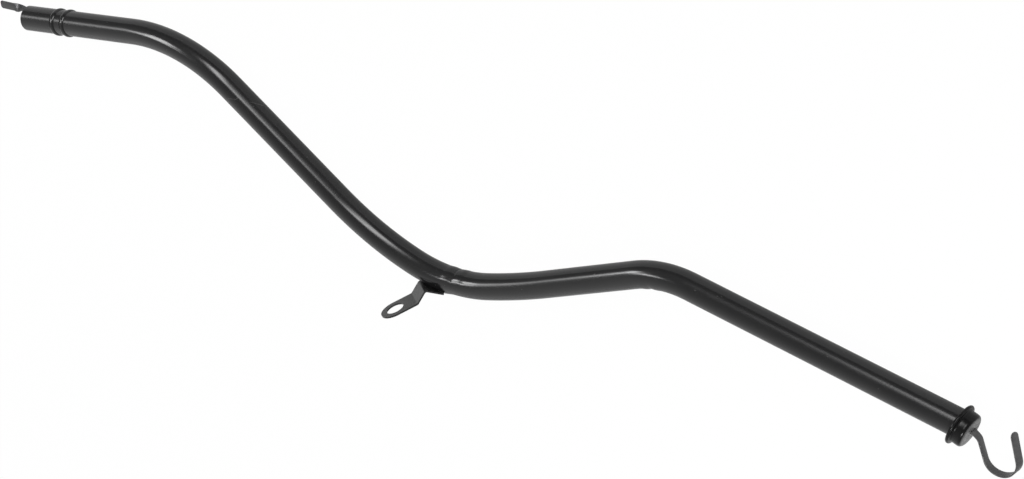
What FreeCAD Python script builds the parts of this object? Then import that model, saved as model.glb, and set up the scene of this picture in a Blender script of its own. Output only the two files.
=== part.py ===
import FreeCAD, Part
import math
import os

# Transmission dipstick in its bent filler tube, lying on a flat surface.
# The tube is laid out flat first, with +X along its upper run and +Z up, and the
# finished part is then tipped onto the three points that it rests on.
# Lengths are in millimetres and angles in degrees.

# Filler tube, from its lower end to its mouth. The middle bend eases in and out.
tube_diameter = 19.05
tube_wall = 0.9
lower_run = 109.8
lower_bend = 42.43
lower_bend_radius = 131.0
second_run = 114.8
middle_lead_bend = 17.7
middle_lead_radius = 237.6
middle_bend = 33.6
middle_bend_radius = 109.7
middle_tail_bend = 6.34
middle_tail_radius = 470.0
third_run = 76.7
upper_bend = 33.78
upper_bend_radius = 73.8
upper_run = 200.8

# Two beads rolled into the tube near its lower end
bead_from_end = 33.4
bead_pitch = 10.5
bead_width = 6.5
bead_height = 1.0
neck_width = 2.4
neck_depth = 0.12

# Wrinkles pressed up on the inside of the middle bend, at angles into it
wrinkle_height = 0.6
wrinkle_half_width = 1.7
wrinkle_shift = 1.1
middle_wrinkles = (16.0, 21.5)

# Bracket welded to the outside of the middle bend
bracket_width = 21.6
bracket_thickness = 1.2
bracket_fold_radius = 2.0
bracket_into_bend = 11.0
bracket_roll = 20.4
bracket_skew = 45.2
fold_reach = 9.7
foot_tail = 4.0
riser_fold = 74.3
riser_height = 10.9
eye_lean = 35.0
eye_reach = 15.5
hole_diameter = 13.0
weld_radius = 1.1
weld_length = 10.0
weld_offset = 4.0

# Dipstick blade, a spring steel strip set on edge in the tube
blade_width = 6.35
blade_thickness = 0.9
blade_drift = 2.6
exit_stub = 3.5
twist_length = 11.0
twist_angle = -70.0
tip_length = 14.2
tip_corner = 1.8

# Hook at the blade's upper end
stem_lean = 7.0
stem_bend_radius = 20.0
stem_run = 1.7
neck_bend = 21.0
neck_bend_radius = 6.0
neck_run = 3.0
shoulder_bend = 31.0
shoulder_bend_radius = 6.0
arm_run = 13.8
hook_bend = 175.2
hook_bend_radius = 11.2
finger_run = 19.8
finger_corner = 2.8

# Cap drawn from sheet, and the rubber disc inside it
cap_diameter = 23.4
cap_wall = 0.8
cap_depth = 10.0
cap_shoulder_radius = 2.2
rim_diameter = 28.2
rim_flare = 1.2
cap_lean_up = 6.5
cap_lean_side = 5.5
cap_lift = 0.5
cap_slip = 0.5
slot_clearance = 0.25
seal_thickness = 2.0
seat_gap = 0.3

Vec = FreeCAD.Vector
UP = Vec(0, 0, 1)
tube_radius = tube_diameter / 2
bore_radius = tube_radius - tube_wall


def along(heading):
    """Unit vector at a heading in the flat layout."""
    return Vec(math.cos(math.radians(heading)), math.sin(math.radians(heading)), 0)


def left_of(heading):
    """Unit vector to the left of a heading."""
    return along(heading + 90)


def line(start, end):
    return Part.LineSegment(start, end).toShape()


class Route:
    """A flat route of straight runs and tangent arcs, laid out step by step."""

    def __init__(self, start, heading):
        self.start = start
        self.start_heading = heading
        self.point = start
        self.heading = heading
        self.steps = []

    def run(self, length):
        self.steps.append((self.point, self.heading, length, 0, 0))
        self.point = self.point + along(self.heading) * length
        return self

    def turn(self, angle, radius):
        """Turn to the left for a positive angle and to the right for a negative one."""
        self.steps.append((self.point, self.heading, 0, angle, radius))
        reach = math.copysign(radius, angle)
        centre = self.point + left_of(self.heading) * reach
        self.heading += angle
        self.point = centre - left_of(self.heading) * reach
        return self

    def edges(self, offset=0):
        """The route's edges, moved to its left by an offset."""
        made = []
        for start, heading, length, angle, radius in self.steps:
            if angle == 0:
                near = start + left_of(heading) * offset
                made.append(line(near, near + along(heading) * length))
            else:
                reach = math.copysign(radius, angle)
                centre = start + left_of(heading) * reach
                headings = [heading, heading + angle / 2, heading + angle]
                points = [centre - left_of(turned) * (reach - offset) for turned in headings]
                made.append(Part.Arc(*points).toShape())
        return made


def on_bend(step, into):
    """Point, heading and inward direction at an angle into one bend of a route."""
    start, heading, length, angle, radius = step
    side = math.copysign(1, angle)
    turned = heading + side * into
    inward = left_of(turned) * side
    centre = start + left_of(heading) * (side * radius)
    return centre - inward * radius, turned, inward


def round_bar(route, radius):
    """A round bar along a route."""
    circle = Part.makeCircle(radius, route.start, along(route.start_heading))
    return Part.Wire(route.edges()).makePipe(Part.Face(Part.Wire(circle)))


def strip(route, thickness, width):
    """A flat strip on edge along a route."""
    half = thickness / 2
    first = left_of(route.start_heading) * half
    last = left_of(route.heading) * half
    ends = [line(route.start + first, route.start - first), line(route.point + last, route.point - last)]
    outline = Part.Wire(Part.__sortEdges__(route.edges(half) + route.edges(-half) + ends))
    face = Part.Face(outline)
    face.translate(UP * (-width / 2))
    return face.extrude(UP * width)


def bead(route, distance):
    """A rolled ring of rounded section round the first run of a route."""
    out = along(route.start_heading)
    side = left_of(route.start_heading)
    middle = route.start + out * distance + side * tube_radius
    foot_a = middle - out * (bead_width / 2)
    foot_b = middle + out * (bead_width / 2)
    root_a = foot_a - side * (tube_wall / 2)
    root_b = foot_b - side * (tube_wall / 2)
    crest = Part.Arc(foot_a, middle + side * bead_height, foot_b).toShape()
    section = Part.Wire([crest, line(foot_b, root_b), line(root_b, root_a), line(root_a, foot_a)])
    return Part.Face(section).revolve(route.start, out, 360)


def ring_groove(route, distance, width, edge_radius, floor_radius):
    """A ring of three-cornered section, to cut the grooves that the rolling leaves."""
    out = along(route.start_heading)
    side = left_of(route.start_heading)
    middle = route.start + out * distance
    edge_a = middle - out * (width / 2) + side * edge_radius
    edge_b = middle + out * (width / 2) + side * edge_radius
    floor = middle + side * floor_radius
    section = Part.Wire([line(edge_a, floor), line(floor, edge_b), line(edge_b, edge_a)])
    return Part.Face(section).revolve(route.start, out, 360)


def wrinkle(step, into):
    """A ring set off centre, so that it stands proud only on the inside of a bend."""
    point, heading, inward = on_bend(step, into)
    ring_radius = tube_radius + wrinkle_height - wrinkle_shift - wrinkle_half_width
    return Part.makeTorus(ring_radius, wrinkle_half_width, point + inward * wrinkle_shift, along(heading))


# Filler tube
lower_heading = lower_bend - middle_lead_bend - middle_bend - middle_tail_bend + upper_bend
tube_route = Route(Vec(0, 0, 0), lower_heading)
tube_route.run(lower_run).turn(-lower_bend, lower_bend_radius)
tube_route.run(second_run).turn(middle_lead_bend, middle_lead_radius)
tube_route.turn(middle_bend, middle_bend_radius)
middle_step = tube_route.steps[-1]
tube_route.turn(middle_tail_bend, middle_tail_radius).run(third_run)
tube_route.turn(-upper_bend, upper_bend_radius).run(upper_run)
mouth = tube_route.point

bead_places = [bead_from_end, bead_from_end + bead_pitch]
tube_bar = round_bar(tube_route, tube_radius)
tube_bar = tube_bar.fuse([bead(tube_route, place) for place in bead_places])
tube_bar = tube_bar.fuse([wrinkle(middle_step, into) for into in middle_wrinkles])
bore = round_bar(tube_route, bore_radius)
hollow_width = bead_width - tube_wall
hollow_radius = bore_radius + bead_height
hollows = [ring_groove(tube_route, place, hollow_width, bore_radius, hollow_radius) for place in bead_places]
neck_place = bead_from_end - (bead_width + neck_width) / 2
neck = ring_groove(tube_route, neck_place, neck_width, tube_radius, tube_radius - neck_depth)
filler_tube = tube_bar.cut([bore, neck] + hollows).Solids[0]

# Mounting bracket, drawn in its own plane: x along its foot, y out from the tube's axis
first_tangent = bracket_fold_radius * math.tan(math.radians(riser_fold / 2))
second_tangent = bracket_fold_radius * math.tan(math.radians(eye_lean / 2))
foot_end = Vec(foot_tail, tube_radius + bracket_thickness / 2, 0)
bracket_route = Route(foot_end, 180)
bracket_route.run(foot_tail + fold_reach - first_tangent)
bracket_route.turn(-riser_fold, bracket_fold_radius)
bracket_route.run(riser_height - first_tangent - second_tangent)
bracket_route.turn(eye_lean, bracket_fold_radius)
bracket_route.run(eye_reach - second_tangent)
eye_centre = bracket_route.point
eye_axis = left_of(bracket_route.heading)
eye_back = eye_centre - eye_axis * (bracket_thickness / 2)
eye = Part.makeCylinder(bracket_width / 2, bracket_thickness, eye_back, eye_axis)
hole = Part.makeCylinder(hole_diameter / 2, bracket_thickness, eye_back, eye_axis)

# The weld lies along the tube, in the gap that opens between the tube and the flat foot
skew = math.radians(bracket_skew)
weld_axis = Vec(math.cos(skew), 0, -math.sin(skew))
weld_side = Vec(-math.sin(skew), 0, -math.cos(skew))
weld_shift = math.sqrt(tube_radius ** 2 - (tube_radius - weld_radius / 2) ** 2)
weld_start = Vec(0, tube_radius, 0) + weld_side * weld_shift + weld_axis * (weld_offset - weld_length / 2)
weld = Part.makeCylinder(weld_radius, weld_length, weld_start, weld_axis)
bracket_flat = strip(bracket_route, bracket_thickness, bracket_width).fuse([eye, weld]).cut(hole)

weld_point, weld_heading, weld_inward = on_bend(middle_step, bracket_into_bend)
outward = weld_inward * -math.cos(math.radians(bracket_roll)) + UP * math.sin(math.radians(bracket_roll))
across = along(weld_heading).cross(outward)
foot_direction = along(weld_heading) * math.cos(skew) + across * math.sin(skew)
bracket_turn = FreeCAD.Rotation(foot_direction, outward, Vec(), "XYZ")
bracket_place = FreeCAD.Placement(weld_point, bracket_turn)
bracket_flat.Placement = bracket_place
mounting_bracket = bracket_flat.cut(tube_bar).removeSplitter().Solids[0]

# Dipstick blade: down the tube, where it springs straight and drifts to the wall
drift = math.radians(blade_drift)
exit_run = (lower_run + lower_bend_radius * math.sin(drift)) / math.cos(drift) + exit_stub
down_route = Route(mouth, 180)
down_route.run(upper_run).turn(upper_bend, upper_bend_radius)
down_route.run(third_run).turn(-middle_tail_bend, middle_tail_radius)
down_route.turn(-middle_bend, middle_bend_radius).turn(-middle_lead_bend, middle_lead_radius)
down_route.run(second_run).turn(lower_bend - blade_drift, lower_bend_radius)
down_route.run(exit_run)

# Out of the mouth and round the hook
hook_route = Route(mouth, 0)
hook_route.turn(-stem_lean, stem_bend_radius).run(stem_run)
hook_route.turn(-neck_bend, neck_bend_radius).run(neck_run)
hook_route.turn(-shoulder_bend, shoulder_bend_radius).run(arm_run)
hook_route.turn(hook_bend, hook_bend_radius).run(finger_run)


def rounded_end(solid, radius, end_point):
    """Round the two corners at the free end of a strip."""
    thin = [edge for edge in solid.Edges if abs(edge.Length / blade_thickness - 1) < 0.01]
    corners = [edge for edge in thin if edge.CenterOfMass.sub(end_point).Length < blade_width]
    return solid.makeFillet(radius, corners)


def blade_section(share):
    """The strip's outline at a share of the way along the twist."""
    out = along(down_route.heading)
    turned = FreeCAD.Rotation(out, twist_angle * share)
    wide = turned.multVec(UP) * (blade_width / 2)
    thick = turned.multVec(left_of(down_route.heading)) * (blade_thickness / 2)
    middle = down_route.point + out * (twist_length * share)
    corners = [middle + wide + thick, middle - wide + thick, middle - wide - thick, middle + wide - thick]
    return Part.makePolygon(corners + corners[:1])


twist_steps = 6
twist = Part.makeLoft([blade_section(step / twist_steps) for step in range(twist_steps + 1)], True, False)
tip_direction = along(down_route.heading)
tip_start = down_route.point + tip_direction * twist_length
tip = Part.Face(blade_section(1)).extrude(tip_direction * tip_length)
tip = rounded_end(tip, tip_corner, tip_start + tip_direction * tip_length)
hook = rounded_end(strip(hook_route, blade_thickness, blade_width), finger_corner, hook_route.point)
blade_in_tube = strip(down_route, blade_thickness, blade_width)
dipstick_blade = blade_in_tube.fuse([hook, twist, tip]).removeSplitter().Solids[0]

# Cap and seal, turned about +Z with the rim at the bottom, then set on the mouth
cap_radius = cap_diameter / 2
cup_radius = cap_radius - cap_wall
rim_radius = rim_diameter / 2
flare_top = rim_flare + cap_wall
cup_depth = cap_depth - cap_wall


def at(radius, height):
    """A point of the cap's section."""
    return Vec(radius, 0, height)


shoulder_in = cap_radius - cap_shoulder_radius
shoulder_low = cap_depth - cap_shoulder_radius
shoulder_half = cap_shoulder_radius * math.sqrt(0.5)
shoulder_middle = at(shoulder_in + shoulder_half, shoulder_low + shoulder_half)
cap_section = Part.Wire([
    line(at(0, cap_depth), at(shoulder_in, cap_depth)),
    Part.Arc(at(shoulder_in, cap_depth), shoulder_middle, at(cap_radius, shoulder_low)).toShape(),
    line(at(cap_radius, shoulder_low), at(cap_radius, flare_top)),
    line(at(cap_radius, flare_top), at(cap_radius + rim_flare, cap_wall)),
    line(at(cap_radius + rim_flare, cap_wall), at(rim_radius, cap_wall)),
    line(at(rim_radius, cap_wall), at(rim_radius, 0)),
    line(at(rim_radius, 0), at(cap_radius + cap_wall, 0)),
    line(at(cap_radius + cap_wall, 0), at(cup_radius, flare_top)),
    line(at(cup_radius, flare_top), at(cup_radius, shoulder_low)),
    line(at(cup_radius, shoulder_low), at(shoulder_in, cup_depth)),
    line(at(shoulder_in, cup_depth), at(0, cup_depth)),
    line(at(0, cup_depth), at(0, cap_depth)),
])
cap_turned = Part.Face(cap_section).revolve(Vec(0, 0, 0), UP, 360)
seal_turned = Part.makeCylinder(shoulder_in, seal_thickness, at(0, cup_depth - seal_thickness), UP)

lean_up = math.radians(cap_lean_up)
cap_axis = along(-cap_lean_side) * math.cos(lean_up) + UP * math.sin(lean_up)
upper_axis = along(0)
mouth_lean = cap_axis.getAngle(upper_axis)
grip = cup_depth - seal_thickness - seat_gap - tube_radius * math.sin(mouth_lean)
cap_offset = UP * cap_lift - left_of(0) * cap_slip
rim_centre = mouth - (upper_axis + cap_axis) * (grip / 2) + cap_offset
cap_place = FreeCAD.Placement(rim_centre, FreeCAD.Rotation(UP, Vec(), cap_axis, "ZXY"))
cap_turned.Placement = cap_place
seal_turned.Placement = cap_place
slot = strip(hook_route, blade_thickness + 2 * slot_clearance, blade_width + 2 * slot_clearance)
dipstick_cap = cap_turned.cut(slot).Solids[0]
cap_seal = seal_turned.cut(slot).Solids[0]

# Rest: the cap's rim, the middle bend and the lower bead touch the surface
rim_drop = rim_radius * math.sqrt(1 - cap_axis.z ** 2)
rim_rest = rim_centre - UP * rim_drop
bead_rest = tube_route.start + along(lower_heading) * bead_places[0] - UP * (tube_radius + bead_height)
chord = rim_rest - bead_rest
chord_heading = math.degrees(math.atan2(chord.y, chord.x))
bend_point = on_bend(middle_step, chord_heading - middle_step[1])[0]
bend_rest = bend_point - UP * tube_radius
floor_normal = (rim_rest - bend_rest).cross(bead_rest - bend_rest).normalize()
settle = FreeCAD.Placement(Vec(0, 0, 0), FreeCAD.Rotation(floor_normal, UP))

nodes = {
    "filler_tube": filler_tube,
    "mounting_bracket": mounting_bracket,
    "dipstick_blade": dipstick_blade,
    "dipstick_cap": dipstick_cap,
    "cap_seal": cap_seal,
}
for shape in nodes.values():
    shape.Placement = settle.multiply(shape.Placement)
box = Part.makeCompound(list(nodes.values())).optimalBoundingBox(False, False)
to_origin = Vec(-box.Center.x, -box.Center.y, -box.ZMin)
os.makedirs("parts", exist_ok=True)
for name, shape in nodes.items():
    shape.translate(to_origin)
    shape.exportStep("parts/" + name + ".step")
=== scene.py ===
from math import atan2, cos, degrees, pi, radians, sin, sqrt

import bpy
from mathutils import Matrix, Vector

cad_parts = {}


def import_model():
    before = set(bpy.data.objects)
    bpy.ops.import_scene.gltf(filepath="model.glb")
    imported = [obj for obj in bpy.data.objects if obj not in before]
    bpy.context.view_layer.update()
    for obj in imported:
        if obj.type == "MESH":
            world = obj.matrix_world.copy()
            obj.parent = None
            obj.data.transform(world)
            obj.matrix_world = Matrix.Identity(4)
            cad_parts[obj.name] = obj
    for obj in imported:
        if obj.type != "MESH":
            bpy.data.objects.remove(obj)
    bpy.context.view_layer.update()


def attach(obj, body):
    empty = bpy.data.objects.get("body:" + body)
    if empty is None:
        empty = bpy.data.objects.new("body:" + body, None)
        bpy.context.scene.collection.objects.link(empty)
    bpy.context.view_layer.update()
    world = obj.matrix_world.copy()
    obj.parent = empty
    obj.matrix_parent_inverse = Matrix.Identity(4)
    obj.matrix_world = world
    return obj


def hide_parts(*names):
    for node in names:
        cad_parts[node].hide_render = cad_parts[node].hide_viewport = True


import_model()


# Camera: a long lens that looks down on the tube as it lies, turned so that the cap is at
# the lower right of the picture and the tube's lower end at the upper left.
picture_width_px = 1024
focal_length_px = 2300
picture_shift_px = 0.5
sensor_width_mm = 36
nearest_view, farthest_view = 0.05, 20
eye = Vector((0.671345, 0.898709, 1.156650))
forward = Vector((-0.39496, -0.55879, -0.72922)).normalized()
picture_down = Vector((0.42087, -0.81559, 0.39706))
picture_right = picture_down.cross(forward).normalized()
picture_up = picture_right.cross(forward).normalized()
bpy.ops.object.select_all(action="DESELECT")
bpy.ops.object.camera_add(location=eye)
camera = bpy.context.object
camera.name = "photo_camera"
camera.matrix_world = Matrix((
    (picture_right.x, picture_up.x, -forward.x, eye.x),
    (picture_right.y, picture_up.y, -forward.y, eye.y),
    (picture_right.z, picture_up.z, -forward.z, eye.z),
    (0, 0, 0, 1),
))
camera.data.sensor_fit = "HORIZONTAL"
camera.data.sensor_width = sensor_width_mm
camera.data.lens = sensor_width_mm * focal_length_px / picture_width_px
camera.data.shift_x = -picture_shift_px / picture_width_px
camera.data.shift_y = picture_shift_px / picture_width_px
camera.data.clip_start = nearest_view
camera.data.clip_end = farthest_view
bpy.context.scene.camera = camera


# Filler tube: drawn steel tube bent three times in one plane, with two beads rolled up
# near its lower end for the seal. The inside of the tightest bends is pressed into small
# wrinkles. It is bent first and then dipped in satin black paint.
tube_radius, tube_wall, tube_sides = 0.009525, 0.0009, 72
tube_edge_angle = 40
lower_run = 0.1098
lower_bend, lower_bend_radius, lower_bend_rings = 42.43, 0.1310, 90
second_run = 0.1148
lead_bend, lead_bend_radius, lead_bend_rings = 17.7, 0.2376, 50
middle_bend, middle_bend_radius, middle_bend_rings = 33.6, 0.1097, 160
tail_bend, tail_bend_radius, tail_bend_rings = 6.34, 0.470, 16
third_run = 0.0767
upper_bend, upper_bend_radius, upper_bend_rings = 33.78, 0.0738, 140
upper_run = 0.2008
lower_heading = radians(lower_bend - lead_bend - middle_bend - tail_bend + upper_bend)
bead_place, bead_pitch = 0.0334, 0.0105
bead_half_width, bead_height, bead_foot = 0.0025, 0.0010, 0.0004
bead_rings = 24
same_point = 0.000001

# The part is laid out flat, then tipped by two degrees onto the points it rests on
lying_place = Vector((-0.398452, -0.002972, 0.010089))
lying_tilt, lying_axis = 2.15798, Vector((0.99859, -0.0531, 0))
lying = Matrix.Translation(lying_place) @ Matrix.Rotation(radians(lying_tilt), 4, lying_axis)


def heading_vector(heading):
    return Vector((cos(heading), sin(heading), 0))


def lay_down(piece):
    """Set a piece that was modelled flat into its resting place."""
    piece.matrix_world = lying @ piece.matrix_world
    bpy.ops.object.select_all(action="DESELECT")
    piece.select_set(True)
    bpy.context.view_layer.objects.active = piece
    bpy.ops.object.transform_apply(location=True, rotation=True, scale=True)


class Bender:
    """Draws the selected outline along runs and bends, as a tube bender does."""

    def __init__(self, point, heading):
        self.point = Vector(point)
        self.heading = heading

    def run(self, length):
        step = heading_vector(self.heading) * length
        bpy.ops.mesh.extrude_region_move(TRANSFORM_OT_translate={"value": step})
        self.point += step

    def turn(self, angle, radius, rings):
        side = 1 if angle > 0 else -1
        centre = self.point + heading_vector(self.heading + pi / 2) * (side * radius)
        bpy.ops.mesh.spin(steps=rings, angle=-radians(angle), center=centre, axis=(0, 0, 1))
        self.heading += radians(angle)
        self.point = centre - heading_vector(self.heading + pi / 2) * (side * radius)
        return centre

    def grow(self, factor, axes=(1, 1, 1)):
        sizes = [1 + (factor - 1) * axis for axis in axes]
        bpy.ops.transform.resize(value=sizes, center_override=self.point)


bpy.ops.object.select_all(action="DESELECT")
bpy.ops.mesh.primitive_circle_add(vertices=tube_sides, radius=tube_radius, rotation=(0, pi / 2, 0))
tube = bpy.context.object
tube.name = "painted_tube"
tube.matrix_world = Matrix.Rotation(lower_heading, 4, "Z") @ tube.matrix_world
bpy.ops.object.transform_apply(location=True, rotation=True, scale=True)
bpy.ops.object.mode_set(mode="EDIT")
bpy.ops.mesh.select_all(action="SELECT")
bender = Bender((0, 0, 0), lower_heading)
drawn_radius = tube_radius
bead_round = (bead_half_width ** 2 + bead_height ** 2) / (2 * bead_height)
for bead in (0, 1):
    crest = bead_place + bead * bead_pitch
    bender.run(crest - bead_half_width - bead_foot - bender.point.length)
    for ring in range(bead_rings + 1):
        off_crest = bead_half_width * (2 * ring / bead_rings - 1)
        bender.run(crest + off_crest - bender.point.length)
        radius = tube_radius + bead_height - bead_round + sqrt(bead_round ** 2 - off_crest ** 2)
        bender.grow(radius / drawn_radius)
        drawn_radius = radius
    bender.run(bead_foot)
bender.run(lower_run - bender.point.length)
bender.turn(-lower_bend, lower_bend_radius, lower_bend_rings)
second_start = bender.point.copy()
second_heading = bender.heading
bender.run(second_run)
bender.turn(lead_bend, lead_bend_radius, lead_bend_rings)
middle_start = bender.heading
middle_centre = bender.turn(middle_bend, middle_bend_radius, middle_bend_rings)
bender.turn(tail_bend, tail_bend_radius, tail_bend_rings)
bender.run(third_run)
upper_start = bender.heading
upper_centre = bender.turn(-upper_bend, upper_bend_radius, upper_bend_rings)
bender.run(upper_run)
mouth = bender.point.copy()
bpy.ops.mesh.select_all(action="SELECT")
bpy.ops.mesh.remove_doubles(threshold=same_point)
bpy.ops.mesh.normals_make_consistent(inside=False)
bpy.ops.object.mode_set(mode="OBJECT")

# Wrinkles on the inside of two bends and a swelling on the outside of the middle one:
# place in degrees into the bend, half width in degrees, height
middle_wrinkles = ((16.9, 2.7, 0.00042), (20.0, 0.6, -0.00030), (22.9, 2.6, 0.00036))
upper_wrinkles = ((8.0, 3.0, 0.00025), (12.0, 2.0, -0.00035), (16.0, 3.0, 0.00025))
outer_swelling = ((12.5, 7.5, 0.0023),)


def hump(share):
    """A smooth hump: one in its middle, nothing at a share of one and beyond."""
    return (1 - share * share) ** 2 if abs(share) < 1 else 0


def raised(into, humps):
    """How far the skin stands out at an angle into the bend."""
    return sum(height * hump((into - place) / half_width) for place, half_width, height in humps)


for point in tube.data.vertices:
    arm = Vector((point.co.x, point.co.y, 0)) - middle_centre
    into = degrees(atan2(arm.x, -arm.y) - middle_start)
    if 0 < into < middle_bend and abs(arm.length - middle_bend_radius) < 2 * tube_radius:
        inner = max(0, (middle_bend_radius - arm.length) / tube_radius)
        outer = max(0, (arm.length - middle_bend_radius) / tube_radius)
        moved = raised(into, outer_swelling) * outer - raised(into, middle_wrinkles) * inner
        point.co += arm.normalized() * moved
    arm = Vector((point.co.x, point.co.y, 0)) - upper_centre
    into = degrees(upper_start - atan2(-arm.x, arm.y))
    if 0 < into < upper_bend and abs(arm.length - upper_bend_radius) < 2 * tube_radius:
        inner = max(0, (upper_bend_radius - arm.length) / tube_radius)
        point.co -= arm.normalized() * (raised(into, upper_wrinkles) * inner)

wall = tube.modifiers.new("wall", "SOLIDIFY")
wall.thickness = tube_wall
wall.offset = -1
bpy.ops.object.modifier_apply(modifier="wall")
lay_down(tube)
bpy.ops.object.shade_smooth_by_angle(angle=radians(tube_edge_angle))


class Sock:
    """A shader value, so that shader maths reads as an expression."""

    def __init__(self, tree, socket):
        self.tree = tree
        self.socket = socket

    def node(self, kind, settings=None, out=0, **inputs):
        """Add any node. A socket is given by its name, or by i and its number."""
        made = self.tree.nodes.new(kind)
        for name, value in (settings or {}).items():
            if name == "stops":
                ramp = made.color_ramp
                while len(ramp.elements) < len(value):
                    ramp.elements.new(0.5)
                for element, (place, colour) in zip(ramp.elements, value):
                    element.position = place
                    element.color = (*colour, 1)
            else:
                setattr(made, name, value)
        for name, value in inputs.items():
            key = int(name[1:]) if name[1:].isdigit() else name.replace("_", " ")
            if isinstance(value, Sock):
                self.tree.links.new(value.socket, made.inputs[key])
            else:
                made.inputs[key].default_value = value
        return Sock(self.tree, made.outputs[out])

    def math(self, operation, first, second=0.0):
        return self.node("ShaderNodeMath", {"operation": operation}, i0=first, i1=second)

    def larger(self, other):
        return self.math("MAXIMUM", self, other)

    def size(self):
        return self.math("ABSOLUTE", self)

    def smooth(self, low, high, from_level=0.0, to_level=1.0):
        """Ease from one level to the other as this value goes from low to high."""
        eased = {"interpolation_type": "SMOOTHSTEP"}
        return self.node("ShaderNodeMapRange", eased, Value=self, From_Min=low, From_Max=high,
                         To_Min=from_level, To_Max=to_level)

    def noise(self, scale, detail, roughness=0.5, stretch=(1, 1, 1)):
        stretched = self.node("ShaderNodeMapping", Vector=self, Scale=stretch)
        return self.node("ShaderNodeTexNoise", Vector=stretched, Scale=scale, Detail=detail,
                         Roughness=roughness)

    def dot(self, way):
        dotted = {"operation": "DOT_PRODUCT"}
        return self.node("ShaderNodeVectorMath", dotted, out="Value", i0=self, i1=way)

    def tones(self, *stops):
        """A colour for this value, from places and the colours there."""
        return self.node("ShaderNodeValToRGB", {"stops": stops}, Fac=self)

    def under(self, share, colour):
        """This colour with another one laid over it by a share."""
        coloured = {"data_type": "RGBA"}
        return self.node("ShaderNodeMix", coloured, out=2, i0=share, i6=self, i7=(*colour, 1))

    def relief(self, strength, depth):
        return self.node("ShaderNodeBump", Strength=strength, Distance=depth, Height=self)

    def drives(self, shader, name):
        self.tree.links.new(self.socket, shader.inputs[name])

    def __add__(self, other):
        return self.math("ADD", self, other)

    def __radd__(self, other):
        return self.math("ADD", other, self)

    def __sub__(self, other):
        return self.math("SUBTRACT", self, other)

    def __rsub__(self, other):
        return self.math("SUBTRACT", other, self)

    def __mul__(self, other):
        return self.math("MULTIPLY", self, other)

    def __rmul__(self, other):
        return self.math("MULTIPLY", other, self)


def new_finish(name):
    """An empty material, with its surface shader and the place on the piece to start from."""
    finish = bpy.data.materials.new(name)
    finish.use_nodes = True
    tree = finish.node_tree
    shader = tree.nodes["Principled BSDF"]
    place = Sock(tree, tree.nodes.new("ShaderNodeTexCoord").outputs["Object"])
    return finish, shader, place


def paint(name, deep_black, dull_black, gloss, peel, scratches=()):
    """Dipped black paint: cloudy tone, uneven gloss, orange peel, specks of dust and scratches."""
    dust_grey = (0.10, 0.098, 0.095)
    speck_radius, speck_edge = 0.035, 0.06
    scratch_core, scratch_edge, scratch_fade = 0.0001, 0.0004, 0.0003
    speck_share, scratch_share = 0.5, 0.9
    grime_roughness, speck_roughness = 0.10, 0.3
    peel_depth = 0.0002
    finish, shader, place = new_finish(name)
    cloud = place.noise(scale=45.0, detail=4.0, roughness=0.6)
    grime = place.noise(scale=260.0, detail=5.0, roughness=0.65)
    dust = place.node("ShaderNodeTexVoronoi", Vector=place, Scale=160.0)
    speck = dust.smooth(speck_radius, speck_edge, 1.0, 0.0)
    marked = speck * speck_share
    for scratch in scratches:
        for start, end in zip(scratch, scratch[1:]):
            way = (end - start).normalized()
            side = way.cross(forward).normalized()
            length = (end - start).length
            aside = place.dot(side) - start.dot(side)
            along = place.dot(way) - start.dot(way)
            line = aside.size().smooth(scratch_core, scratch_edge, 1.0, 0.0)
            line = line * along.smooth(-scratch_fade, scratch_fade)
            line = line * along.smooth(length - scratch_fade, length + scratch_fade, 1.0, 0.0)
            marked = marked.larger(line * cloud * scratch_share)
    black = cloud.tones((0.30, deep_black), (0.75, dull_black))
    black.under(marked, dust_grey).drives(shader, "Base Color")
    uneven = gloss + (grime - 0.5) * grime_roughness + speck * speck_roughness
    uneven.drives(shader, "Roughness")
    place.noise(scale=700.0, detail=2.0).relief(peel, peel_depth).drives(shader, "Normal")
    return finish


def on_second_run(along, round_degrees):
    """A point on the tube's skin after its first bend, from how far along and round it is."""
    turned = radians(round_degrees)
    out = heading_vector(second_heading + pi / 2) * cos(turned) + Vector((0, 0, sin(turned)))
    return lying @ (second_start + heading_vector(second_heading) * along + out * tube_radius)


scratches = (
    (on_second_run(0.006, 94), on_second_run(0.0115, 65), on_second_run(0.0115, 49)),
    (on_second_run(0.020, 29), on_second_run(0.024, 11), on_second_run(0.028, -9)),
)
tube_tones = (0.0085, 0.0085, 0.009), (0.013, 0.0128, 0.0128)
black_paint = paint("satin_black_paint", *tube_tones, gloss=0.17, peel=0.08, scratches=scratches)
tube.data.materials.append(black_paint)
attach(tube, "tube")
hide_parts("filler_tube")


# Mounting bracket: a strip of steel folded twice, with a rounded eye, welded to the outside
# of the middle bend and painted with the tube. The sheared sides of the strip took the
# paint duller than its flat faces.
loose_gap, shortest_edge = 0.000002, 0.0001
flat_angle, bracket_edge_angle = 1, 30
bracket_node = bpy.data.objects["mounting_bracket"]
bracket = bpy.data.objects.new("welded_bracket", bracket_node.data.copy())
bpy.context.collection.objects.link(bracket)
bpy.ops.object.select_all(action="DESELECT")
bracket.select_set(True)
bpy.context.view_layer.objects.active = bracket
bpy.ops.object.mode_set(mode="EDIT")
bpy.ops.mesh.select_all(action="SELECT")
bpy.ops.mesh.remove_doubles(threshold=loose_gap)
bpy.ops.mesh.dissolve_limited(angle_limit=radians(flat_angle))
bpy.ops.mesh.select_all(action="SELECT")
bpy.ops.mesh.remove_doubles(threshold=shortest_edge)
bpy.ops.mesh.normals_make_consistent(inside=False)
bpy.ops.object.mode_set(mode="OBJECT")
bpy.ops.object.shade_smooth_by_angle(angle=radians(bracket_edge_angle))
flat_faces = bracket.modifiers.new("flat_faces", "WEIGHTED_NORMAL")
flat_faces.keep_sharp = True
bpy.ops.object.modifier_apply(modifier="flat_faces")


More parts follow.
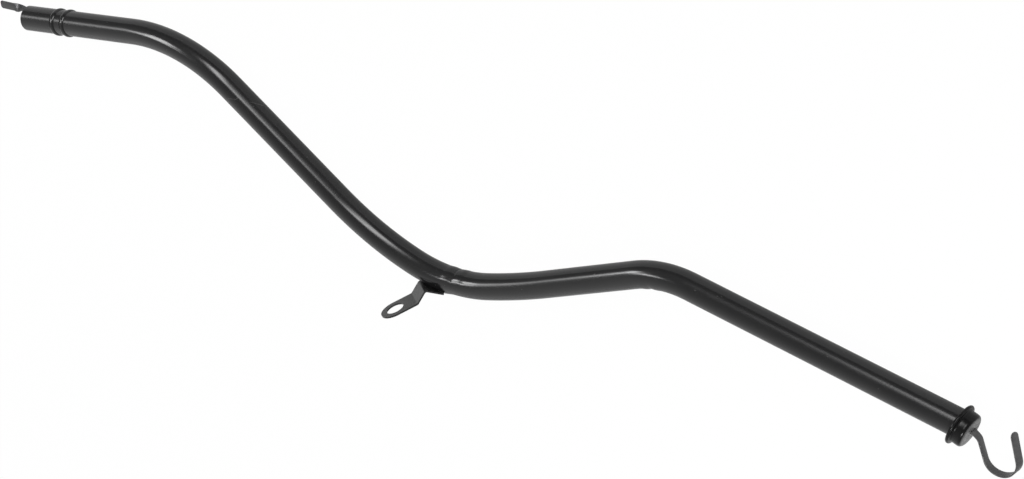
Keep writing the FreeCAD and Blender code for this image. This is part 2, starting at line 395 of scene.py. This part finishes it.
def driven_by(finish, name):
    """The shader of a finish, and the value that drives one of its sockets so far."""
    shader = finish.node_tree.nodes["Principled BSDF"]
    return shader, Sock(finish.node_tree, shader.inputs[name].links[0].from_socket)


# The sheared sides face along the folds, so they are found from two of the strip's flats
parallel = 0.95
sheared_from, sheared_full, sheared_roughness = 0.4, 0.7, 0.6
by_size = sorted(bracket.data.polygons, key=lambda face: face.area, reverse=True)
first_flat = by_size[0].normal
other_flats = [face.normal for face in by_size if abs(face.normal.dot(first_flat)) < parallel]
fold_way = first_flat.cross(other_flats[0]).normalized()
bracket_tones = (0.018, 0.018, 0.018), (0.024, 0.024, 0.024)
bracket_paint = paint("bracket_black_paint", *bracket_tones, gloss=0.17, peel=0.02)
shader, gloss = driven_by(bracket_paint, "Roughness")
facing = gloss.node("ShaderNodeTexCoord", out="Normal")
sheared = facing.dot(fold_way).size().smooth(sheared_from, sheared_full)
(gloss + sheared * sheared_roughness).drives(shader, "Roughness")
bracket.data.materials.clear()
bracket.data.materials.append(bracket_paint)
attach(bracket, "tube")
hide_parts("mounting_bracket")


# Dipstick blade: one long strip of blued spring steel that runs down inside the tube and
# shows at both ends. Below it is twisted into a flat tip, and above it comes out through
# the cap and is bent by hand into a finger hook.
blade_width, blade_thickness, blade_edge = 0.00635, 0.0009, 0.0003
blade_edge_angle, blade_edge_segments = 35, 3
blade_bend_rings, blade_lead_rings, blade_tail_rings = 24, 12, 6
blade_drift, exit_stub = 3.4, 0.0035
twist_length, twist_angle, twist_steps = 0.011, -92, 16
tip_length, tip_corner, tip_steps = 0.0142, 0.0018, 8
tip_lift = 1.0
stem_lean, stem_radius, stem_rings, stem_run = 7, 0.020, 6, 0.0017
neck_bend, neck_radius, neck_rings, neck_run = 21, 0.006, 10, 0.0030
shoulder_bend, shoulder_radius, shoulder_rings, arm_run = 31, 0.006, 14, 0.0129
hook_bend, hook_radius, hook_rings = 175.2, 0.0112, 72
finger_run, finger_corner, finger_steps = 0.0198, 0.0030, 12
finger_twist, twist_begins = -17, 85
corner_steps = 9


def strip_outline(width, thickness, edge):
    """The strip's section at the tube's mouth, as a ring of edges to draw from."""
    bpy.ops.object.select_all(action="DESELECT")
    bpy.ops.mesh.primitive_plane_add(size=1, rotation=(0, pi / 2, 0))
    piece = bpy.context.object
    piece.scale = (width, thickness, 1)
    piece.location = mouth
    bpy.ops.object.transform_apply(location=True, rotation=True, scale=True)
    bpy.ops.object.mode_set(mode="EDIT")
    bpy.ops.mesh.select_all(action="SELECT")
    if edge:
        bpy.ops.mesh.bevel(affect="VERTICES", offset=edge, segments=blade_edge_segments)
    bpy.ops.mesh.delete(type="ONLY_FACE")
    bpy.ops.mesh.select_all(action="SELECT")
    return piece


def run_out(bender, length, steps):
    """A straight run in short steps, so that it can be twisted."""
    for step in range(steps):
        bender.run(length / steps)


def round_end(bender, corner):
    """Round the strip's two corners at its end, then close it."""
    flat = blade_width / 2 - corner
    half_width = blade_width / 2
    for step in range(1, corner_steps):
        turned = radians(90 * step / corner_steps)
        before = radians(90 * (step - 1) / corner_steps)
        bender.run(corner * (sin(turned) - sin(before)))
        narrowed = flat + corner * cos(turned)
        bender.grow(narrowed / half_width, (0, 0, 1))
        half_width = narrowed
    bpy.ops.mesh.edge_face_add()


def draw_stem(bender):
    """Out of the mouth, through the cap and down the neck."""
    bender.turn(-stem_lean, stem_radius, stem_rings)
    bender.run(stem_run)
    bender.turn(-neck_bend, neck_radius, neck_rings)
    bender.run(neck_run)


blade = strip_outline(blade_width, blade_thickness, blade_edge)
blade.name = "blued_blade"
drift = radians(blade_drift)
bender = Bender(mouth, pi)
bender.run(upper_run)
bender.turn(upper_bend, upper_bend_radius, blade_bend_rings)
bender.run(third_run)
bender.turn(-tail_bend, tail_bend_radius, blade_tail_rings)
bender.turn(-middle_bend, middle_bend_radius, blade_bend_rings)
bender.turn(-lead_bend, lead_bend_radius, blade_lead_rings)
bender.run(second_run)
bender.turn(lower_bend - blade_drift, lower_bend_radius, blade_bend_rings)
bender.run((lower_run + lower_bend_radius * sin(drift)) / cos(drift) + exit_stub)
exit_point = bender.point.copy()
exit_heading = heading_vector(bender.heading)
run_out(bender, twist_length, twist_steps)
run_out(bender, tip_length - tip_corner, tip_steps)
round_end(bender, tip_corner)

# The hook starts again from the ring at the mouth
bpy.ops.object.mode_set(mode="OBJECT")
for point in blade.data.vertices:
    point.select = abs(point.co.x - mouth.x) < same_point
for edge in blade.data.edges:
    ends = [blade.data.vertices[index] for index in edge.vertices]
    edge.select = all(end.select for end in ends)
for face in blade.data.polygons:
    face.select = False
bpy.ops.object.mode_set(mode="EDIT")
bender = Bender(mouth, 0)
draw_stem(bender)
bender.turn(-shoulder_bend, shoulder_radius, shoulder_rings)
bender.run(arm_run)
hook_centre = bender.turn(hook_bend, hook_radius, hook_rings)
finger_start = bender.point.copy()
finger_heading = heading_vector(bender.heading)
run_out(bender, finger_run - finger_corner, finger_steps)
round_end(bender, finger_corner)
bpy.ops.mesh.select_all(action="SELECT")
bpy.ops.mesh.remove_doubles(threshold=same_point)
bpy.ops.mesh.normals_make_consistent(inside=False)
bpy.ops.object.mode_set(mode="OBJECT")


def turned_about(point, centre, axis, angle):
    return centre + Matrix.Rotation(radians(angle), 3, axis) @ (point - centre)


# The tip is twisted where it leaves the tube, and the finger over the end of the hook
for point in blade.data.vertices:
    out = (point.co - exit_point).dot(exit_heading)
    if point.co.x < lower_run and out > 0:
        share = min(1, out / twist_length)
        twisted = turned_about(point.co, exit_point, exit_heading, twist_angle * share)
        point.co = turned_about(twisted, exit_point, Vector((0, 0, 1)), -tip_lift * share)
    out = (point.co - finger_start).dot(finger_heading)
    arm = Vector((point.co.x - hook_centre.x, point.co.y - hook_centre.y, 0))
    into = (hook_bend + degrees(atan2(arm.y, arm.x) + pi / 2 - bender.heading)) % 360
    if point.co.x > mouth.x + arm_run and out > same_point:
        point.co = turned_about(point.co, finger_start, finger_heading, finger_twist)
    elif abs(arm.length - hook_radius) < blade_thickness and twist_begins < into < hook_bend + 1:
        share = min(1, (into - twist_begins) / (hook_bend - twist_begins))
        eased = share * share * (3 - 2 * share)
        middle = hook_centre + arm.normalized() * hook_radius
        tangent = arm.normalized().cross(Vector((0, 0, -1)))
        point.co = turned_about(point.co, middle, tangent, finger_twist * eased)
lay_down(blade)
bpy.ops.object.shade_smooth_by_angle(angle=radians(blade_edge_angle))

dark_blue_grey, pale_blue_grey = (0.088, 0.088, 0.091), (0.128, 0.127, 0.127)
least_roughness, smudge_roughness = 0.30, 0.16
bare_metal, smudge_metal = 0.85, 0.2
grain_strength, grain_depth = 0.12, 0.0001
blued_steel, shader, place = new_finish("blued_spring_steel")
rolled = place.noise(scale=160.0, detail=4.0, roughness=0.6, stretch=(0.05, 1, 1))
smudge = place.noise(scale=70.0, detail=4.0, roughness=0.6)
grain = place.noise(scale=1500.0, detail=3.0, roughness=0.6, stretch=(0.06, 1, 1))
rolled.tones((0.30, dark_blue_grey), (0.70, pale_blue_grey)).drives(shader, "Base Color")
(least_roughness + smudge * smudge_roughness).drives(shader, "Roughness")
(bare_metal + (smudge - 0.5) * smudge_metal).drives(shader, "Metallic")
grain.relief(grain_strength, grain_depth).drives(shader, "Normal")
blade.data.materials.append(blued_steel)
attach(blade, "dipstick")
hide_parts("dipstick_blade")


# Dipstick cap: pressed from thin steel, with a rolled lip round its open end, a soft
# shoulder and a flat face. It is painted a deeper black than the tube, and the blade comes
# out of a slot in its face.
cap_radius, cap_wall, cap_depth = 0.0117, 0.0008, 0.0100
cap_sides, cap_edge_angle = 128, 35
lip_radius, lip_thickness = 0.0141, 0.0025
lip_half = lip_thickness / 2
throat_radius = 0.0014
crown_radius, crown_foot = 0.0027, 0.0008
cup_radius, cup_depth = cap_radius - cap_wall, cap_depth - cap_wall
cup_corner, cup_corner_in, cup_corner_down = 0.0016, 0.0005, 0.0004
flare_radius, flare_level = 0.0014, 0.0022
cap_lean_up, cap_lean_side = radians(6.5), radians(5.5)
cap_lift, cap_slip, cap_grip = 0.0005, 0.0005, 0.005491
slot_clearance = 0.0004

# The face is crowned by a hair: radius and rise of its rings
face_rings = ((0.0075, 0.00006), (0.0050, 0.00012), (0.0020, 0.00016))


def arc(radius, height, bend, start, end, steps):
    """Points of an arc round a centre in the cap's section, as pairs of radius and height."""
    angles = [radians(start + (end - start) * step / steps) for step in range(steps + 1)]
    return [(radius + bend * cos(angle), height + bend * sin(angle)) for angle in angles]


cap_section = [
    (cup_radius - cup_corner, cup_depth),
    (cup_radius - cup_corner_in, cup_depth - cup_corner_down),
    (cup_radius, cup_depth - cup_corner),
]
cap_section += arc(cup_radius + flare_radius, flare_level, flare_radius, 180, 250, 6)
cap_section += arc(lip_radius - lip_half, lip_half, lip_half, -90, 90, 12)
cap_section += arc(cap_radius + throat_radius, lip_thickness + throat_radius, throat_radius, -90, -180, 10)
cap_section += [(cap_radius, cap_depth - crown_radius - crown_foot)]
cap_section += arc(cap_radius - crown_radius, cap_depth - crown_radius, crown_radius, 0, 90, 14)
cap_section += [(radius, cap_depth + rise) for radius, rise in face_rings]

bpy.ops.object.select_all(action="DESELECT")
drawn_radius, drawn_height = cap_section[0]
bpy.ops.mesh.primitive_circle_add(
    vertices=cap_sides, radius=drawn_radius, fill_type="NGON", location=(0, 0, drawn_height))
cap = bpy.context.object
cap.name = "painted_cap"
bpy.ops.object.transform_apply(location=True, rotation=True, scale=True)
bpy.ops.object.mode_set(mode="EDIT")
bpy.ops.mesh.select_all(action="SELECT")
for radius, height in cap_section[1:]:
    bpy.ops.mesh.extrude_region_move(TRANSFORM_OT_translate={"value": (0, 0, height - drawn_height)})
    growth = radius / drawn_radius
    bpy.ops.transform.resize(value=(growth, growth, 1), center_override=(0, 0, 0))
    drawn_radius, drawn_height = radius, height
bpy.ops.mesh.select_all(action="SELECT")
bpy.ops.mesh.normals_make_consistent(inside=False)
bpy.ops.object.mode_set(mode="OBJECT")
cap_axis = heading_vector(-cap_lean_side) * cos(cap_lean_up) + Vector((0, 0, sin(cap_lean_up)))
rim_centre = mouth - (Vector((1, 0, 0)) + cap_axis) * (cap_grip / 2) + Vector((0, -cap_slip, cap_lift))
leaning = Vector((0, 0, 1)).rotation_difference(cap_axis).to_matrix().to_4x4()
cap.matrix_world = Matrix.Translation(rim_centre) @ leaning
bpy.ops.object.transform_apply(location=True, rotation=True, scale=True)

# The slot is cut along the way that the blade takes through the face
cutter = strip_outline(blade_width + 2 * slot_clearance, blade_thickness + 2 * slot_clearance, 0)
draw_stem(Bender(mouth, 0))
bpy.ops.mesh.select_all(action="SELECT")
bpy.ops.mesh.remove_doubles(threshold=same_point)
bpy.ops.mesh.fill_holes(sides=0)
bpy.ops.mesh.normals_make_consistent(inside=False)
bpy.ops.object.mode_set(mode="OBJECT")
slot = cap.modifiers.new("slot", "BOOLEAN")
slot.operation = "DIFFERENCE"
slot.object = cutter
bpy.ops.object.select_all(action="DESELECT")
bpy.context.view_layer.objects.active = cap
bpy.ops.object.modifier_apply(modifier="slot")
bpy.data.objects.remove(cutter)
lay_down(cap)
bpy.ops.object.shade_smooth_by_angle(angle=radians(cap_edge_angle))

# The cap's face is painted a lighter grey as painted light for what it catches, but kept black close round
# the slot as painted shade of the slot's opening
cap_tones = (0.004, 0.004, 0.004), (0.007, 0.007, 0.007)
lit_face_grey = (0.12, 0.12, 0.12)
lit_face_below, lit_face_full = -0.0009, -0.0001
slot_offset = -0.0003
slot_shade_across, slot_shade_along = (0.0009, 0.0020), (0.0036, 0.0048)
cap_specular = 0.2
cap_paint = paint("gloss_black_paint", *cap_tones, gloss=0.20, peel=0.02)
shader, painted = driven_by(cap_paint, "Base Color")
shader.inputs["Specular IOR Level"].default_value = cap_specular
place = painted.node("ShaderNodeTexCoord", out="Object")
face_way = lying.to_3x3() @ cap_axis
face_level = (lying @ rim_centre).dot(face_way) + cap_depth
slot_middle = lying @ (mouth + Vector((stem_radius * sin(radians(stem_lean)), slot_offset, 0)))
lit_face = (place.dot(face_way) - face_level).smooth(lit_face_below, lit_face_full)
across = (place.dot((0, 1, 0)) - slot_middle.y).size().smooth(*slot_shade_across)
along = (place.dot((0, 0, 1)) - slot_middle.z).size().smooth(*slot_shade_along)
# Painted light on the face, with painted shade left black round the slot
painted.under(lit_face * across.larger(along), lit_face_grey).drives(shader, "Base Color")
cap.data.materials.append(cap_paint)
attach(cap, "dipstick")
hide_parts("dipstick_cap")


# Cap seal: a disc of black rubber pressed into the top of the cap, which closes the
# tube's mouth. It is hidden while the cap is on.
deep_rubber, bloomed_rubber = (0.012, 0.012, 0.012), (0.022, 0.022, 0.021)
rubber_roughness, bloom_roughness = 0.65, 0.2
rubber_grain, rubber_grain_depth = 0.2, 0.0002
seal = bpy.data.objects["cap_seal"]
seal_rubber, shader, place = new_finish("black_rubber")
bloom = place.noise(scale=300.0, detail=4.0, roughness=0.6)
bloom.tones((0.3, deep_rubber), (0.8, bloomed_rubber)).drives(shader, "Base Color")
(rubber_roughness + bloom * bloom_roughness).drives(shader, "Roughness")
moulded = place.noise(scale=2500.0, detail=2.0)
moulded.relief(rubber_grain, rubber_grain_depth).drives(shader, "Normal")
seal.data.materials.clear()
seal.data.materials.append(seal_rubber)


# Floor: a white sheet that stays white in the picture and keeps a faint shadow. What the
# tube mirrors of it is dimmer.
floor_size, floor_white = 8, (0.92, 0.92, 0.92, 1)
seen_share, bounced_share = 0.985, 0.5
bounced_glow, seen_glow = 0.45, 0.55
bpy.ops.object.select_all(action="DESELECT")
bpy.ops.mesh.primitive_plane_add(size=floor_size)
floor = bpy.context.object
floor.name = "floor"
white_floor, shader, place = new_finish("white_floor")
tree = white_floor.node_tree
tree.nodes.remove(shader)
seen = place.node("ShaderNodeLightPath", out="Is Camera Ray")
mirrored = place.node("ShaderNodeLightPath", out="Is Glossy Ray")
through = place.node("ShaderNodeLightPath", out="Is Transmission Ray")
plain = place.node("ShaderNodeBsdfDiffuse", Color=floor_white)
glow = bounced_glow + seen_glow * seen
bright = place.node("ShaderNodeEmission", Color=(1, 1, 1, 1), Strength=glow)
share = (seen * seen_share).larger(mirrored.larger(through) * bounced_share)
surface = place.node("ShaderNodeMixShader", i0=share, i1=plain, i2=bright)
tree.links.new(surface.socket, tree.nodes["Material Output"].inputs["Surface"])
floor.data.materials.append(white_floor)


# Light: a soft lamp over the tube's lower end and a small one over the cap, each with its
# place, aim, size and power.
lamps = (
    ("soft_lamp", Vector((-0.77, 0.27, 0.66)), Vector((0, 0, 0)), 0.22, 1.5),
    ("cap_lamp", Vector((0.592, -0.048, 0.46)), lying @ mouth, 0.12, 1.2),
)
for lamp_name, lamp_place, lamp_aim, lamp_size, lamp_power in lamps:
    bpy.ops.object.light_add(type="AREA", location=lamp_place)
    lamp = bpy.context.object
    lamp.name = lamp_name
    lamp.data.shape = "DISK"
    lamp.data.size = lamp_size
    lamp.data.energy = lamp_power
    lamp.rotation_euler = (lamp_aim - lamp_place).to_track_quat("-Z", "Y").to_euler()


# Room: pale on one side and darker on two others, with a tall window that leans a little
# and a narrow lit doorway. Angles are degrees round from +X and up from the floor, and an
# edge is the pair of angles over which it fades.
pale_bearing, pale_height = radians(235), radians(10)
dome_least, dome_pale = 0.34, 0.66
far_left, far_right, far_top, far_shade = (80, 95), (165, 175), (14, 26), 0.35
dark_left, dark_right, dark_top, dark_shade = (172, 182), (218, 228), (22, 32), 0.95
window_left, window_right, window_foot, window_top = (78, 98), (97, 111), (20, 32), (52, 64)
window_lean, lean_from = 0.1, 51
window_slant, slant_from = 0.5, 90
window_glow = 11.0
door_left, door_right, door_foot, door_top = (164, 169), (172, 179), (22, 28), (54, 61)
door_glow, door_head, door_head_glow = 3.6, (36, 52), 12.0

world = bpy.data.worlds.new("studio")
bpy.context.scene.world = world
world.use_nodes = True
tree = world.node_tree
sky = tree.nodes["Background"]
way = Sock(tree, tree.nodes.new("ShaderNodeTexCoord").outputs["Generated"])
way_x, way_y, way_z = way.dot((1, 0, 0)), way.dot((0, 1, 0)), way.dot((0, 0, 1))
up = way.math("ARCSINE", way_z) * (180 / pi)
bearing = way.math("ARCTAN2", way_y, way_x) * (180 / pi)
bearing = way.math("FLOORED_MODULO", bearing, 360.0)


def past(value, edge):
    """Nothing before an edge, one after it."""
    return value.smooth(*edge)


def before(value, edge):
    """One before an edge, nothing after it."""
    return value.smooth(*edge, 1.0, 0.0)


pale_way = heading_vector(pale_bearing) * cos(pale_height) + Vector((0, 0, sin(pale_height)))
towards_pale = way.dot(pale_way).larger(0.0)
dome = dome_least + dome_pale * towards_pale * towards_pale
far_side = past(bearing, far_left) * before(bearing, far_right) * before(up, far_top)
dome = dome * (1 - far_side * far_shade)
dark_side = past(bearing, dark_left) * before(bearing, dark_right) * before(up, dark_top)
dome = dome * (1 - dark_side * dark_shade)
leaning_bearing = bearing + (up - lean_from) * window_lean
slanted_up = up - (bearing - slant_from) * window_slant
window = past(leaning_bearing, window_left) * before(bearing, window_right)
window = window * past(slanted_up, window_foot) * before(up, window_top)
door = past(bearing, door_left) * before(bearing, door_right) * before(up, door_top)
door = door * (past(up, door_foot) * door_glow + past(up, door_head) * door_head_glow)
level = dome + window * window_glow + door
seen = way.node("ShaderNodeLightPath", out="Is Camera Ray")
(seen + (1 - seen) * level).drives(sky, "Strength")
sky.inputs["Color"].default_value = (1, 1, 1, 1)

bpy.context.scene.view_settings.view_transform = "Standard"
